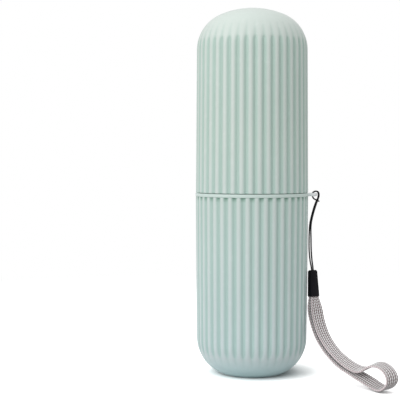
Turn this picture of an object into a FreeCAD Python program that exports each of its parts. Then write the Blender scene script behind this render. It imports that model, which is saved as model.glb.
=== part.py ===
# Toothbrush travel case: two fluted cups, a collar with a lanyard eye, and a wrist lanyard.
# Millimetres, +Z up, origin at the middle of the flat foot, lanyard eye on +X.
import FreeCAD
import Part
import Sketcher
import math
import os

V = FreeCAD.Vector
# How a sketch numbers the points of a curve, and its own two axes
CURVE_POINTS = ("edge", "start", "end", "centre")
START, END, CENTRE = (CURVE_POINTS.index(point) for point in CURVE_POINTS[1:])
FRAME_LINES = ("none", "horizontal", "vertical")
H_AXIS, V_AXIS = (-FRAME_LINES.index(axis) for axis in FRAME_LINES[1:])
ORIGIN = H_AXIS

# Driving dimensions: name, value, what it is
SIZES = [
    ("rib_count", 40, "ribs round each cup"),
    ("mouth_radius", 31.15, "rib crests at the mouth of a cup"),
    ("draft_angle", 0.4, "taper of the cup walls, degrees"),
    ("cup_length", 101.5, "mouth to the top of the dome"),
    ("dome_height", 22.8, "shoulder to the top of the dome"),
    ("corner_radius", 21.0, "bend from the wall into the dome, measured across"),
    ("crown_share", 0.157, "height of the round cap on the dome, of the dome's height"),
    ("crown_angle", 67.1, "where the bend meets the round cap, degrees"),
    ("wall", 2.8, "cup wall under a rib crest, at the mouth"),
    ("foot_cut", 3.1, "how much of the lower dome the flat foot takes off"),
    ("floor_wall", 2.4, "thickness over the flat foot"),
    ("groove_depth", 0.9, "rib crest to groove floor"),
    ("crest_share", 0.27, "width of a rib's crest, of the pitch of the ribs"),
    ("floor_share", 0.23, "width of a groove's floor, of the pitch of the ribs"),
    ("runout_angle", 44.0, "how far round the dome's corner the grooves fade away, degrees"),
    ("crown_step", 0.05, "edge of the smooth crown beyond the last ring of ribs"),
    ("upper_rib_turn", 6.1, "turn of the upper cup's first rib from +X, degrees"),
    ("lower_rib_turn", 3.3, "turn of the lower cup's first rib from +X, degrees"),
    ("seam_gap", 0.3, "upper cup's mouth above the flange"),
    ("overrun", 2.0, "how far a cut runs past a face"),
    ("flange_thickness", 1.8, "visible ring between the cups"),
    ("flange_proud", 0.1, "ring beyond the rib crests"),
    ("neck_height", 14.0, "collar above the ring, inside the upper cup"),
    ("neck_clearance", 0.3, "neck to the upper cup's inside"),
    ("neck_wall", 1.5, "thickness of the collar's sleeve"),
    ("neck_lead", 0.8, "bevel at the top of the neck"),
    ("spigot_depth", 8.0, "collar below the ring, inside the lower cup"),
    ("spigot_clearance", 0.15, "spigot to the lower cup's inside"),
    ("eye_reach", 4.9, "eye tab beyond the ring"),
    ("eye_radius", 3.2, "rounded end of the eye tab"),
    ("eye_hole_radius", 1.4, "hole for the cord"),
    ("eye_bar", 1.9, "bar between the hole and the end of the tab"),
    ("eye_bevel", 0.5, "bevel on the edges of the eye tab and its hole"),
    ("cord_diameter", 0.8, "thin lanyard cord"),
    ("cord_sides", 5, "flat sides of the cord's section"),
    ("cord_pitch", 1.0, "between the middles of the two strands"),
    ("lanyard_angle", 53.0, "strap's direction, from +X towards -Y, degrees"),
    ("clip_x", 34.1, "middle of the clip's lower end"),
    ("clip_y", -5.6, "middle of the clip's lower end"),
    ("clip_z", 43.3, "middle of the clip's lower end"),
    ("clip_tilt", 4.0, "lean of the clip, degrees"),
    ("clip_length", 14.5, "clip from end to end"),
    ("clip_foot_width", 6.0, "clip at the strap, along the strap's width"),
    ("clip_foot_depth", 4.2, "clip at the strap, across the layers"),
    ("clip_head_width", 4.8, "clip at the cord, along the strap's width"),
    ("clip_head_depth", 3.6, "clip at the cord, across the layers"),
    ("clip_corner", 1.0, "rounded corners of the clip"),
    ("clip_bevel", 0.6, "bevel round the clip's head"),
    ("clip_fit", 0.1, "clearance of the strap and the cord in the clip"),
    ("clip_pocket", 6.0, "depth of the strap's pocket"),
    ("clip_bore", 3.5, "depth of the cord's slot"),
    ("strap_width", 8.0, "woven strap"),
    ("strap_thickness", 1.2, "woven strap"),
    ("strap_gather", 4.9, "width of the strap where the clip grips it"),
    ("strap_flare", 9.0, "length in which the strap opens to its full width"),
    ("layer_pitch", 1.8, "between the middles of the strap's layers in the clip"),
]

# The strap's free loop in its own upright plane: out from the clip, and height over the floor
STRAP_LOOP = [
    (-0.5, 39.2), (0.3, 34.0), (2.4, 28.2), (6.4, 21.1), (14.3, 14.0), (24.1, 8.9), (34.4, 6.3),
    (44.0, 4.0), (51.2, 1.4), (55.6, 0.8), (59.4, 3.0), (61.9, 6.8), (59.8, 11.3), (53.6, 14.0),
    (46.9, 13.0), (41.6, 9.2), (35.1, 8.5), (25.6, 10.5), (16.0, 15.2), (8.2, 22.0), (3.7, 30.1),
    (1.6, 37.8),
]
# Back strand of the cord from the clip up to the hitch, and the front strand beside it
BACK_STRAND = [(32.05, -5.5, 62.8), (31.5, -5.2, 69.0), (31.55, -4.5, 75.2), (31.8, -2.4, 80.6)]
FRONT_STRAND = [(33.15, -5.3, 62.8), (32.65, -5.4, 69.0), (32.6, -5.0, 75.2), (32.5, -3.7, 80.6)]
# Half of the hitch about the middle of the eye's bar: outwards, sideways, up
HITCH = [
    (-2.55, 0.5, -15.0), (-0.95, 0.5, -8.6), (0.5, 0.5, -4.2), (1.7, 0.5, -1.9), (2.1, 0.5, 0.2),
    (1.25, 0.5, 1.85), (-0.7, 0.5, 2.0), (-1.95, 0.5, 0.75), (-1.95, 0.5, -1.05), (-1.2, 0.85, -2.3),
    (-0.1, 1.5, -3.1), (1.35, 1.5, -3.8), (1.9, 0.65, -4.2),
]
# Rings of the fading grooves: share of the way round the corner, share of the full depth
RUNOUT_SHARES = [(0, 1), (0.33, 0.82), (0.66, 0.38), (1, 0.06)]
# Where the rounded ends turn from one cone to the next: share of the way round
CONE_SHARE = 0.5
# Tangent length of each bend of a cord, as a share of the shorter run beside it
BEND_SHARE = 0.45

doc = FreeCAD.newDocument("TravelCase")
sheet = doc.addObject("Spreadsheet::Sheet", "Sizes")
for row, (alias, value, meaning) in enumerate(SIZES, start=1):
    sheet.set(f"A{row}", meaning)
    sheet.set(f"B{row}", str(value))
    sheet.setAlias(f"B{row}", alias)
doc.recompute()

# Sizes that several pieces share, as expressions of the sheet
SHOULDER = "Sizes.cup_length - Sizes.dome_height"
DRAFT = "Sizes.draft_angle * 1 deg"
SHOULDER_RADIUS = f"Sizes.mouth_radius - tan({DRAFT}) * ({SHOULDER})"
CORNER_X = f"{SHOULDER_RADIUS} - Sizes.corner_radius * cos({DRAFT})"
CORNER_DROP = f"{SHOULDER} - Sizes.corner_radius * sin({DRAFT})"
DOME_RISE = f"(Sizes.cup_length - ({CORNER_DROP}))"
CROWN_ANGLE = "Sizes.crown_angle * 1 deg"
BEND_RISE = f"((1 - Sizes.crown_share) * {DOME_RISE} / sin({CROWN_ANGLE}))"
LOWER_LENGTH = "Sizes.cup_length - Sizes.foot_cut"
UPPER_MOUTH = f"{LOWER_LENGTH} + Sizes.flange_thickness + Sizes.seam_gap"
FLANGE_RADIUS = "Sizes.mouth_radius + Sizes.flange_proud"
BORE_RADIUS = "Sizes.mouth_radius - Sizes.wall"
NECK_RADIUS = f"{BORE_RADIUS} - Sizes.neck_clearance"
SPIGOT_RADIUS = f"{BORE_RADIUS} - Sizes.spigot_clearance"
EYE_END = f"{FLANGE_RADIUS} + Sizes.eye_reach"
EYE_BAR_X = f"{EYE_END} - Sizes.eye_bar / 2"
EYE_BAR_Z = f"{LOWER_LENGTH} + Sizes.flange_thickness / 2"


def measure(expression):
    """Value of an expression of the sheet, in millimetres or degrees."""
    value = sheet.evalExpression(expression)
    return float(getattr(value, "Value", value))


def size(alias):
    return measure(alias)


def polar(centre, radius, angle):
    return V(centre.x + radius * math.cos(angle), centre.y + radius * math.sin(angle), 0)


def add_solid(label, shape):
    feature = doc.addObject("Part::Feature", label)
    feature.Label = label
    feature.Shape = shape
    return feature


def new_body(label):
    body = doc.addObject("PartDesign::Body", label)
    body.Label = label
    return body


def datum(body, role):
    return next(feature for feature in body.Origin.OriginFeatures if feature.Role == role)


def sketch_on(body, name, role):
    sketch = body.newObject("Sketcher::SketchObject", name)
    sketch.AttachmentSupport = [(datum(body, role), "")]
    sketch.MapMode = "FlatFace"
    return sketch


def tie(sketch, kind, *where):
    sketch.addConstraint(Sketcher.Constraint(kind, *where))


def dimension(sketch, expression, kind, *where):
    """A driving dimension of a sketch that follows the sheet."""
    value = measure(expression)
    start = math.radians(value) if kind == "Angle" else value
    index = sketch.addConstraint(Sketcher.Constraint(kind, *where, start))
    sketch.setExpression(f"Constraints[{index}]", expression)


def line(sketch, start, end):
    return sketch.addGeometry(Part.LineSegment(start, end))


def arc(sketch, centre, radius, start, end):
    return sketch.addGeometry(Part.ArcOfCircle(Part.Circle(centre, V(0, 0, 1), radius), start, end))


def polygon(sketch, corners):
    """Closed outline through corners given as pairs of expressions, each bound to the sheet."""
    points = [V(measure(across), measure(up), 0) for across, up in corners]
    lines = [line(sketch, point, points[i - len(points) + 1]) for i, point in enumerate(points)]
    for i, here in enumerate(lines):
        tie(sketch, "Coincident", here, END, lines[i - len(lines) + 1], START)
    for here, (across, up) in zip(lines, corners):
        dimension(sketch, across, "DistanceX", ORIGIN, START, here, START)
        dimension(sketch, up, "DistanceY", ORIGIN, START, here, START)


def turned(body, sketch, name, kind="PartDesign::Revolution"):
    feature = body.newObject(kind, name)
    feature.Profile = sketch
    feature.ReferenceAxis = (sketch, ["V_Axis"])
    return feature


def ribbed_ring(radius, depth, height):
    """Closed ring of ribs and grooves with their crests on the radius, first rib on +X."""
    pitch = 2 * math.pi / size("rib_count")
    crest, floor = size("crest_share") / 2, size("floor_share") / 2
    inner = radius - depth
    turns = [(-crest, radius), (crest, radius), (1 / 2 - floor, inner), (1 / 2 + floor, inner)]
    corners = [((rib + turn) * pitch, reach) for rib in range(int(size("rib_count"))) for turn, reach in turns]
    points = [V(reach * math.cos(turn), reach * math.sin(turn), height) for turn, reach in corners]
    return Part.makePolygon(points + points[:1])


def fluted_wall(label):
    """Loft from the mouth down to where the grooves have faded into the dome."""
    rings = [ribbed_ring(size("mouth_radius"), size("groove_depth"), 0)]
    draft, runout = math.radians(size("draft_angle")), math.radians(size("runout_angle"))
    for turn_share, depth_share in RUNOUT_SHARES:
        angle = draft + turn_share * (runout - draft)
        reach = measure(CORNER_X) + size("corner_radius") * math.cos(angle)
        radius = reach - turn_share * size("crown_step")
        drop = measure(CORNER_DROP) + measure(BEND_RISE) * math.sin(angle)
        rings.append(ribbed_ring(radius, depth_share * size("groove_depth"), -drop))
    loft = doc.addObject("Part::Loft", label + "_flutes")
    loft.Sections = [add_solid(f"{label}_ring_{i}", ring) for i, ring in enumerate(rings)]
    loft.Solid = True
    loft.Ruled = True
    doc.recompute()
    return loft


def bend_place(depth, angle):
    """Place on the dome's bend, from expressions of the depth in the wall and the angle."""
    across = f"{CORNER_X} + (Sizes.corner_radius - {depth}) * cos({angle})"
    return across, f"-({CORNER_DROP} + ({BEND_RISE} - {depth}) * sin({angle}))"


def turned_polygon(body, name, corners, kind):
    sketch = sketch_on(body, name + "_section", "XZ_Plane")
    polygon(sketch, corners)
    turned(body, sketch, name, kind)
    doc.recompute()


def make_cup(label, outer_angle, inner_angle, ceiling):
    """Cup with its mouth at z = 0: ribs and grooves, smooth end of the dome, straight bore with a round end."""
    body = new_body(label)
    body.BaseFeature = fluted_wall(label)
    doc.recompute()
    runout = "Sizes.runout_angle * 1 deg"
    angles = [runout, f"({runout} + {CONE_SHARE} * ({outer_angle} - {runout}))", outer_angle]
    crown = [bend_place("0", angle) for angle in angles]
    crown = [("0", crown[0][1])] + crown + [("0", crown[-1][1])]
    turned_polygon(body, label + "_crown", crown, "PartDesign::Revolution")
    cavity = [("0", "Sizes.overrun"), (BORE_RADIUS, "Sizes.overrun"), (BORE_RADIUS, f"-({CORNER_DROP})")]
    cavity += [bend_place("Sizes.wall", angle) for angle in (f"{CONE_SHARE} * {inner_angle}", inner_angle)]
    cavity += ceiling
    cavity.append(("0", cavity[-1][1]))
    turned_polygon(body, label + "_cavity", cavity, "PartDesign::Groove")
    return body


def make_lower_cup():
    """Cup whose dome is cut flat for the foot, with a flat floor inside."""
    foot = f"({DOME_RISE} - Sizes.foot_cut)"
    outer_angle = f"asin({foot} / {BEND_RISE})"
    inner_angle = f"asin(({foot} - Sizes.floor_wall) / ({BEND_RISE} - Sizes.wall))"
    body = make_cup("lower_cup", outer_angle, inner_angle, [])
    body.setExpression("Placement.Base.z", LOWER_LENGTH)
    body.setExpression("Placement.Rotation.Yaw", "Sizes.lower_rib_turn * 1 deg")
    return body


def make_upper_cup():
    """The same cup with its whole dome, closed by a round cap, turned over."""
    edge_across, edge_up = bend_place("0", CROWN_ANGLE)
    cap_rise = f"(Sizes.crown_share * {DOME_RISE})"
    radius = f"((({edge_across}) ^ 2 + {cap_rise} ^ 2) / (2 * {cap_rise}))"
    half = f"(asin(({edge_across}) / {radius}) * {CONE_SHARE})"
    inner = f"({radius} - Sizes.wall)"
    ceiling = (f"{inner} * sin({half})", f"{radius} - Sizes.cup_length - {inner} * cos({half})")
    body = make_cup("upper_cup", CROWN_ANGLE, CROWN_ANGLE, [ceiling])
    edge_x, edge_y = measure(edge_across), measure(edge_up)
    top_y, cap_radius = -size("cup_length"), measure(radius)
    edge_turn = math.asin(edge_x / cap_radius) - math.pi / 2
    section = sketch_on(body, "upper_cup_cap_section", "XZ_Plane")
    base = line(section, V(0, edge_y, 0), V(edge_x, edge_y, 0))
    axis = line(section, V(0, top_y, 0), V(0, edge_y, 0))
    cap = arc(section, V(0, top_y + cap_radius, 0), cap_radius, -math.pi / 2, edge_turn)
    tie(section, "Coincident", base, START, axis, END)
    tie(section, "Coincident", base, END, cap, END)
    tie(section, "Coincident", axis, START, cap, START)
    tie(section, "Horizontal", base)
    tie(section, "PointOnObject", axis, START, V_AXIS)
    tie(section, "PointOnObject", axis, END, V_AXIS)
    tie(section, "PointOnObject", cap, CENTRE, V_AXIS)
    dimension(section, radius, "Radius", cap)
    dimension(section, "Sizes.cup_length", "DistanceY", axis, START, ORIGIN, START)
    dimension(section, edge_across, "DistanceX", base, START, base, END)
    turned(body, section, "upper_cup_cap")
    body.Placement = FreeCAD.Placement(V(), FreeCAD.Rotation(V(1, 0, 0), 180))
    body.setExpression("Placement.Base.z", UPPER_MOUTH)
    body.setExpression("Placement.Rotation.Yaw", "Sizes.upper_rib_turn * 1 deg")
    return body


def make_collar():
    """Sleeve bonded into the lower cup, with the ring between the cups, the neck and the eye."""
    body = new_body("collar")
    eye = sketch_on(body, "eye_outline", "XY_Plane")
    root_x = f"{FLANGE_RADIUS} - Sizes.overrun"
    centre_x = f"{EYE_END} - Sizes.eye_radius"
    hole_x = f"{EYE_END} - Sizes.eye_bar - Sizes.eye_hole_radius"
    root, centre = V(measure(root_x), 0, 0), V(measure(centre_x), 0, 0)
    half = V(0, size("eye_radius"), 0)
    near = line(eye, root + half, root - half)
    right = line(eye, root - half, centre - half)
    end = arc(eye, centre, half.y, -math.pi / 2, math.pi / 2)
    left = line(eye, centre + half, root + half)
    hole = eye.addGeometry(Part.Circle(V(measure(hole_x), 0, 0), V(0, 0, 1), size("eye_hole_radius")))
    tie(eye, "Coincident", near, END, right, START)
    tie(eye, "Tangent", right, END, end, START)
    tie(eye, "Tangent", end, END, left, START)
    tie(eye, "Coincident", left, END, near, START)
    tie(eye, "Vertical", near)
    tie(eye, "Horizontal", right)
    tie(eye, "PointOnObject", end, CENTRE, H_AXIS)
    tie(eye, "PointOnObject", hole, CENTRE, H_AXIS)
    dimension(eye, root_x, "DistanceX", ORIGIN, START, near, START)
    dimension(eye, centre_x, "DistanceX", ORIGIN, START, end, CENTRE)
    dimension(eye, "Sizes.eye_radius", "Radius", end)
    dimension(eye, hole_x, "DistanceX", ORIGIN, START, hole, CENTRE)
    dimension(eye, "Sizes.eye_hole_radius", "Radius", hole)
    tab = body.newObject("PartDesign::Pad", "eye_tab")
    tab.Profile = eye
    tab.setExpression("Length", "Sizes.flange_thickness")
    doc.recompute()
    flat = [(f"Edge{i}", edge) for i, edge in enumerate(tab.Shape.Edges, start=1) if edge.BoundBox.ZLength == 0]
    outline = [name for name, edge in flat if edge.BoundBox.XMax > root.x + size("overrun")]
    bevelled = body.newObject("PartDesign::Chamfer", "eye_edges")
    bevelled.Base = (tab, outline)
    bevelled.setExpression("Size", "Sizes.eye_bevel")
    doc.recompute()
    inside = f"{NECK_RADIUS} - Sizes.neck_wall"
    top = "Sizes.flange_thickness + Sizes.neck_height"
    section = sketch_on(body, "collar_section", "XZ_Plane")
    polygon(section, [
        (inside, "-Sizes.spigot_depth"),
        (SPIGOT_RADIUS, "-Sizes.spigot_depth"),
        (SPIGOT_RADIUS, "0"),
        (FLANGE_RADIUS, "0"),
        (FLANGE_RADIUS, "Sizes.flange_thickness"),
        (NECK_RADIUS, "Sizes.flange_thickness"),
        (NECK_RADIUS, f"{top} - Sizes.neck_lead"),
        (f"{NECK_RADIUS} - Sizes.neck_lead", top),
        (inside, top),
    ])
    turned(body, section, "collar_sleeve")
    body.setExpression("Placement.Base.z", LOWER_LENGTH)
    return body


def rounded_rectangle(sketch, width, depth, radius):
    """Rectangle with round corners about the sketch's origin, from three expressions."""
    w, d, r = measure(width) / 2, measure(depth) / 2, measure(radius)
    centres = [V(w - r, d - r, 0), V(r - w, d - r, 0), V(r - w, r - d, 0), V(w - r, r - d, 0)]
    quarter = math.pi / 2
    bends = [arc(sketch, centre, r, i * quarter, (i + 1) * quarter) for i, centre in enumerate(centres)]
    sides = []
    for i in range(4):
        start = polar(centres[i], r, (i + 1) * quarter)
        sides.append(line(sketch, start, polar(centres[i - 3], r, (i + 1) * quarter)))
    for i in range(4):
        tie(sketch, "Tangent", bends[i], END, sides[i], START)
        tie(sketch, "Tangent", sides[i], END, bends[i - 3], START)
        if i:
            tie(sketch, "Equal", bends[0], bends[i])
    tie(sketch, "Horizontal", sides[0])
    tie(sketch, "Vertical", sides[1])
    tie(sketch, "Symmetric", bends[0], CENTRE, bends[2], CENTRE, ORIGIN, START)
    dimension(sketch, radius, "Radius", bends[0])
    dimension(sketch, f"{width} - 2 * ({radius})", "DistanceX", bends[1], CENTRE, bends[0], CENTRE)
    dimension(sketch, f"{depth} - 2 * ({radius})", "DistanceY", bends[3], CENTRE, bends[0], CENTRE)


def clip_section(body, name, height, width, depth, radius):
    """Section across the clip at a height over its lower end."""
    sketch = sketch_on(body, name, "XY_Plane")
    sketch.setExpression("AttachmentOffset.Base.z", height)
    rounded_rectangle(sketch, width, depth, radius)
    return sketch


def clip_cut(body, name, section, cut_depth, upwards):
    """Blind pocket from one end of the clip."""
    pocket = body.newObject("PartDesign::Pocket", name)
    pocket.Profile = section
    pocket.Reversed = upwards
    pocket.setExpression("Length", cut_depth)
    doc.recompute()


def make_clip():
    """Tapered cord end: the strap's ends in a pocket below, the cord's ends in a slot above."""
    body = new_body("lanyard_clip")
    bevel = "2 * Sizes.clip_bevel"
    sections = [
        clip_section(body, "clip_foot", "0", "Sizes.clip_foot_width", "Sizes.clip_foot_depth",
                     "Sizes.clip_corner"),
        clip_section(body, "clip_shoulder", "Sizes.clip_length - Sizes.clip_bevel", "Sizes.clip_head_width",
                     "Sizes.clip_head_depth", "Sizes.clip_corner"),
        clip_section(body, "clip_head", "Sizes.clip_length", f"Sizes.clip_head_width - {bevel}",
                     f"Sizes.clip_head_depth - {bevel}", "Sizes.clip_corner - Sizes.clip_bevel"),
    ]
    shell = body.newObject("PartDesign::AdditiveLoft", "clip_shell")
    shell.Profile = sections[0]
    shell.Sections = sections[1:]
    shell.Ruled = True
    doc.recompute()
    layers = "Sizes.layer_pitch + Sizes.strap_thickness + 2 * Sizes.clip_fit"
    pocket = clip_section(body, "strap_pocket_outline", "0", "Sizes.strap_gather + 2 * Sizes.clip_fit",
                          layers, "2 * Sizes.clip_fit")
    clip_cut(body, "strap_pocket", pocket, "Sizes.clip_pocket", True)
    slot_width = "Sizes.cord_diameter + 2 * Sizes.clip_fit"
    slot = clip_section(body, "cord_slot_outline", "Sizes.clip_length", f"Sizes.cord_pitch + {slot_width}",
                        slot_width, "Sizes.cord_diameter / 2")
    clip_cut(body, "cord_slot", slot, "Sizes.clip_bore", False)
    body.setExpression("Placement.Base.x", "Sizes.clip_x")
    body.setExpression("Placement.Base.y", "Sizes.clip_y")
    body.setExpression("Placement.Base.z", "Sizes.clip_z")
    body.setExpression("Placement.Rotation.Yaw", "90 deg - Sizes.lanyard_angle * 1 deg")
    body.setExpression("Placement.Rotation.Roll", "-Sizes.clip_tilt * 1 deg")
    return body


def rounded_path(points):
    """Straight runs joined by tangent arcs through a route's corners, and the arcs' radii."""
    edges, radii = [], []
    start = points[0]
    for before, corner, after in zip(points, points[1:], points[2:]):
        back, ahead = before - corner, after - corner
        half_turn = (math.pi - back.getAngle(ahead)) / 2
        reach = BEND_SHARE * min(back.Length, ahead.Length)
        radius = reach / math.tan(half_turn)
        enter = corner + back.normalize() * reach
        leave = corner + ahead.normalize() * reach
        inwards = ((enter + leave) / 2 - corner).normalize()
        middle = corner + inwards * (radius / math.cos(half_turn) - radius)
        edges += [Part.LineSegment(start, enter).toShape(), Part.Arc(enter, middle, leave).toShape()]
        radii.append(radius)
        start = leave
    edges.append(Part.LineSegment(start, points[-1]).toShape())
    return Part.Wire(edges), radii


def sweep(label, points, section, area):
    """Solid of one section along a route, with its bends and its volume printed."""
    path, radii = rounded_path(points)
    solid = path.makePipeShell([section], True, False)
    print(label, "length %.1f, least bend %.2f, volume %.2f for %.2f" % (
        path.Length, min(radii), solid.Volume, area * path.Length))
    return solid


def make_strap():
    """Woven strap: both layers and the loop in one upright plane, gathered where the clip grips it."""
    tilt = math.radians(size("clip_tilt"))
    along = V(-math.sin(tilt), 0, math.cos(tilt))
    across = V(math.cos(tilt), 0, math.sin(tilt)) * (size("layer_pitch") / 2)
    clip_end = V(0, 0, size("clip_z"))
    held = clip_end + along * size("clip_pocket")
    free = clip_end - along * size("strap_thickness")
    loop = [V(out, 0, up) for out, up in STRAP_LOOP]
    route = [held - across, free - across] + loop + [free + across, held + across]
    width, thickness = size("strap_width"), size("strap_thickness")
    side, face = V(0, width / 2, 0), across.normalize() * (thickness / 2)
    corners = [route[0] + side + face, route[0] - side + face, route[0] - side - face, route[0] + side - face]
    band = sweep("wrist_strap", route, Part.makePolygon(corners + corners[:1]), width * thickness)
    narrow, wide = size("strap_gather") / 2, width / 2 + size("overrun")
    top, bottom = held.z + size("overrun"), clip_end.z - size("strap_flare")
    depth = V(2 * width, 0, 0)
    for sign in (-1, 1):
        outline = [(wide, top), (narrow, top), (narrow, clip_end.z), (width / 2, bottom), (wide, bottom)]
        points = [V(-width, sign * y, z) for y, z in outline]
        wedge = Part.Face(Part.makePolygon(points + points[:1])).extrude(depth)
        band = band.cut(wedge)
    strap = add_solid("wrist_strap", band.Solids[0])
    turn = FreeCAD.Rotation(V(0, 0, 1), -size("lanyard_angle"))
    strap.Placement = FreeCAD.Placement(V(size("clip_x"), size("clip_y"), 0), turn)
    return strap


def make_cord(clip):
    """Thin cord from the clip up through the eye, hitched round its bar and back to the clip."""
    bar = V(measure(EYE_BAR_X), 0, measure(EYE_BAR_Z))
    half_pitch = size("cord_pitch") / 2
    seat = size("clip_length") - size("clip_bore")
    mouth = size("clip_length") + size("cord_diameter")
    doc.recompute()
    ends = [[clip.Placement.multVec(V(sign * half_pitch, 0, z)) for z in (seat, mouth)] for sign in (-1, 1)]
    rise = [bar + V(*step) for step in HITCH]
    fall = [bar + V(out, -aside, up) for out, aside, up in reversed(HITCH)]
    route = ends[0] + [V(*point) for point in BACK_STRAND] + rise
    route += fall + [V(*point) for point in reversed(FRONT_STRAND)] + ends[1][::-1]
    radius, sides = size("cord_diameter") / 2, int(size("cord_sides"))
    ahead = (route[1] - route[0]).normalize()
    aside = ahead.cross(V(0, 0, 1)).normalize() * radius
    corners = [FreeCAD.Rotation(ahead, i * 360 / sides).multVec(aside) + route[0] for i in range(sides + 1)]
    area = sides / 2 * radius ** 2 * math.sin(2 * math.pi / sides)
    return add_solid("lanyard_cord", sweep("lanyard_cord", route, Part.makePolygon(corners), area))


pieces = [make_lower_cup(), make_upper_cup(), make_collar(), make_clip()]
pieces += [make_strap(), make_cord(pieces[-1])]
doc.recompute()
for item in doc.Objects:
    if "Invalid" in item.State or "Error" in item.State:
        raise RuntimeError(f"{item.Label} failed: {item.State}")
for piece in pieces:
    if piece.Shape.isNull() or not piece.Shape.isValid() or len(piece.Shape.Solids) != 1:
        raise RuntimeError(f"{piece.Label} isn't one valid solid")
os.makedirs("parts", exist_ok=True)
for piece in pieces:
    piece.Shape.exportStep(f"parts/{piece.Label}.step")
    box = piece.Shape.BoundBox
    print("%-14s volume %9.1f faces %4d  x %7.2f %7.2f  y %7.2f %7.2f  z %7.2f %7.2f" % (
        piece.Label, piece.Shape.Volume, len(piece.Shape.Faces),
        box.XMin, box.XMax, box.YMin, box.YMax, box.ZMin, box.ZMax))
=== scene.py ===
"""Ribbed travel case with a wrist lanyard, dressed over its fixed frame for rendering."""
import math
import random

import bmesh
import bpy
from bpy.props import FloatProperty, FloatVectorProperty, IntProperty, PointerProperty
from bpy.types import Operator, Panel, PropertyGroup
from mathutils import Matrix, Vector


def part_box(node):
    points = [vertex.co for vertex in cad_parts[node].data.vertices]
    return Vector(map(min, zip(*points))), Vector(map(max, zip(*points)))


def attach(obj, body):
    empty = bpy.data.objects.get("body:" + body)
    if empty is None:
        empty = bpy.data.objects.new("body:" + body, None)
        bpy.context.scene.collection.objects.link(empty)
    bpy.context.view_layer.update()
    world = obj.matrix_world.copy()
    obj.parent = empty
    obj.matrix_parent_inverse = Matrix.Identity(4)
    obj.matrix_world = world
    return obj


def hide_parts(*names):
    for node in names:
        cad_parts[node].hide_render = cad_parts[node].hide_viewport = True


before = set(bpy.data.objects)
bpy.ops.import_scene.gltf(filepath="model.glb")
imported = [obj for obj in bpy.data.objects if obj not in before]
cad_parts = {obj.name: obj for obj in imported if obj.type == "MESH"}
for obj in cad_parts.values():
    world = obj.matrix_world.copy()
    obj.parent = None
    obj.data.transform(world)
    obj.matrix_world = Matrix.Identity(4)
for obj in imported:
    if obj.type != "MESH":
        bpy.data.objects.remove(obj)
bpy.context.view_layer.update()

bl_info = {
    "name": "Travel Case",
    "version": (1, 0, 0),
    "blender": (4, 5, 0),
    "location": "View3D > Sidebar > Travel Case",
    "description": "Builds the cups, the collar and the wrist lanyard of a ribbed travel case",
    "category": "Object",
}

LOWER_BOX, UPPER_BOX, COLLAR_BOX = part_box("lower_cup"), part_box("upper_cup"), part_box("collar")
UP = Vector((0, 0, 1))
# Points closer than this become one, and no divisor is smaller
TINY = 0.000001
# Edges of the collar that turn by more than this are rounded
HARD_EDGE = math.radians(25)
# Mesh rows over the dome's cap, round the inside of the bend and round its outside
CROWN_ROWS = 9
INNER_ROWS = 10
OUTER_ROWS = 40
# Rows between the mouth and the shoulder, as shares of that length
WALL_SHARES = (0.25, 0.5, 0.75)
# Heights between which the painted cool light over the lower half and the painted paler cyan reflection at
# the foot fade
PAINTED_COOL_LIGHT_HEIGHTS = (0.0, 0.13)
PAINTED_FOOT_REFLECTION_HEIGHTS = (0.001, 0.012)
# Drops below the lower cup's mouth between which the ring's painted shade in the grooves grows
RING_SHADE = (0.0026, 0.0006)
# Strands that wind each way in the cord's braid
BRAID_STRANDS = 4
# Half of the strap's section from side to side, in half widths and half thicknesses
BAND_SHARES = [
    (-1.0, 0.0), (-0.98, 0.6), (-0.92, 0.9), (-0.84, 0.8), (-0.5, 0.78), (0.0, 0.78), (0.5, 0.78),
    (0.84, 0.8), (0.92, 0.9), (0.98, 0.6), (1.0, 0.0),
]

# The strap's free loop in its own upright plane: out from the clip, and height over the floor
STRAP_LOOP = [
    (-0.0007, 0.0392), (0.0001, 0.0339), (0.0022, 0.0281), (0.0062, 0.0210), (0.0142, 0.0138),
    (0.0240, 0.0087), (0.0344, 0.0063), (0.0440, 0.0040), (0.0512, 0.0019), (0.0556, 0.0014),
    (0.0594, 0.0034), (0.0619, 0.0069), (0.0598, 0.0113), (0.0536, 0.0140), (0.0469, 0.0130),
    (0.0416, 0.0092), (0.0351, 0.0085), (0.0258, 0.0111), (0.0163, 0.0157), (0.0087, 0.0224),
    (0.0043, 0.0303), (0.0022, 0.0380),
]
# Back strand of the cord from the clip up to the hitch, and the front strand beside it
BACK_STRAND = [
    (0.03205, -0.0055, 0.0628), (0.03150, -0.0052, 0.0690), (0.03155, -0.0045, 0.0752),
    (0.03180, -0.0024, 0.0806),
]
FRONT_STRAND = [
    (0.03315, -0.0053, 0.0628), (0.03265, -0.0054, 0.0690), (0.03260, -0.0050, 0.0752),
    (0.03250, -0.0037, 0.0806),
]
# Half of the hitch about the middle of the eye's bar, as outwards, sideways and up: the run up to the bar,
# the outer side of the turn round it, and the rest of the turn with the tail of the knot
HITCH_RUN = [(-0.00255, 0.0005, -0.0150), (-0.00095, 0.0005, -0.0086), (0.0005, 0.0005, -0.0042)]
HITCH_TURN = [(0.0014, 0.0005, -0.0019), (0.00178, 0.0005, 0.0002), (0.00115, 0.0005, 0.0018)]
HITCH_TAIL = [
    (-0.0006, 0.0005, 0.00185), (-0.0017, 0.0005, 0.0007), (-0.0017, 0.0005, -0.00105),
    (-0.0010, 0.00085, -0.0022), (-0.0001, 0.0015, -0.0028), (0.00135, 0.0015, -0.0033),
    (0.0019, 0.00065, -0.0037),
]


def display(red, green, blue):
    """Scene colour of a display colour given in 0 to 255."""
    shares = (red / 255, green / 255, blue / 255)
    return tuple(s / 12.92 if s <= 0.04045 else ((s + 0.055) / 1.055) ** 2.4 for s in shares)


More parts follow.
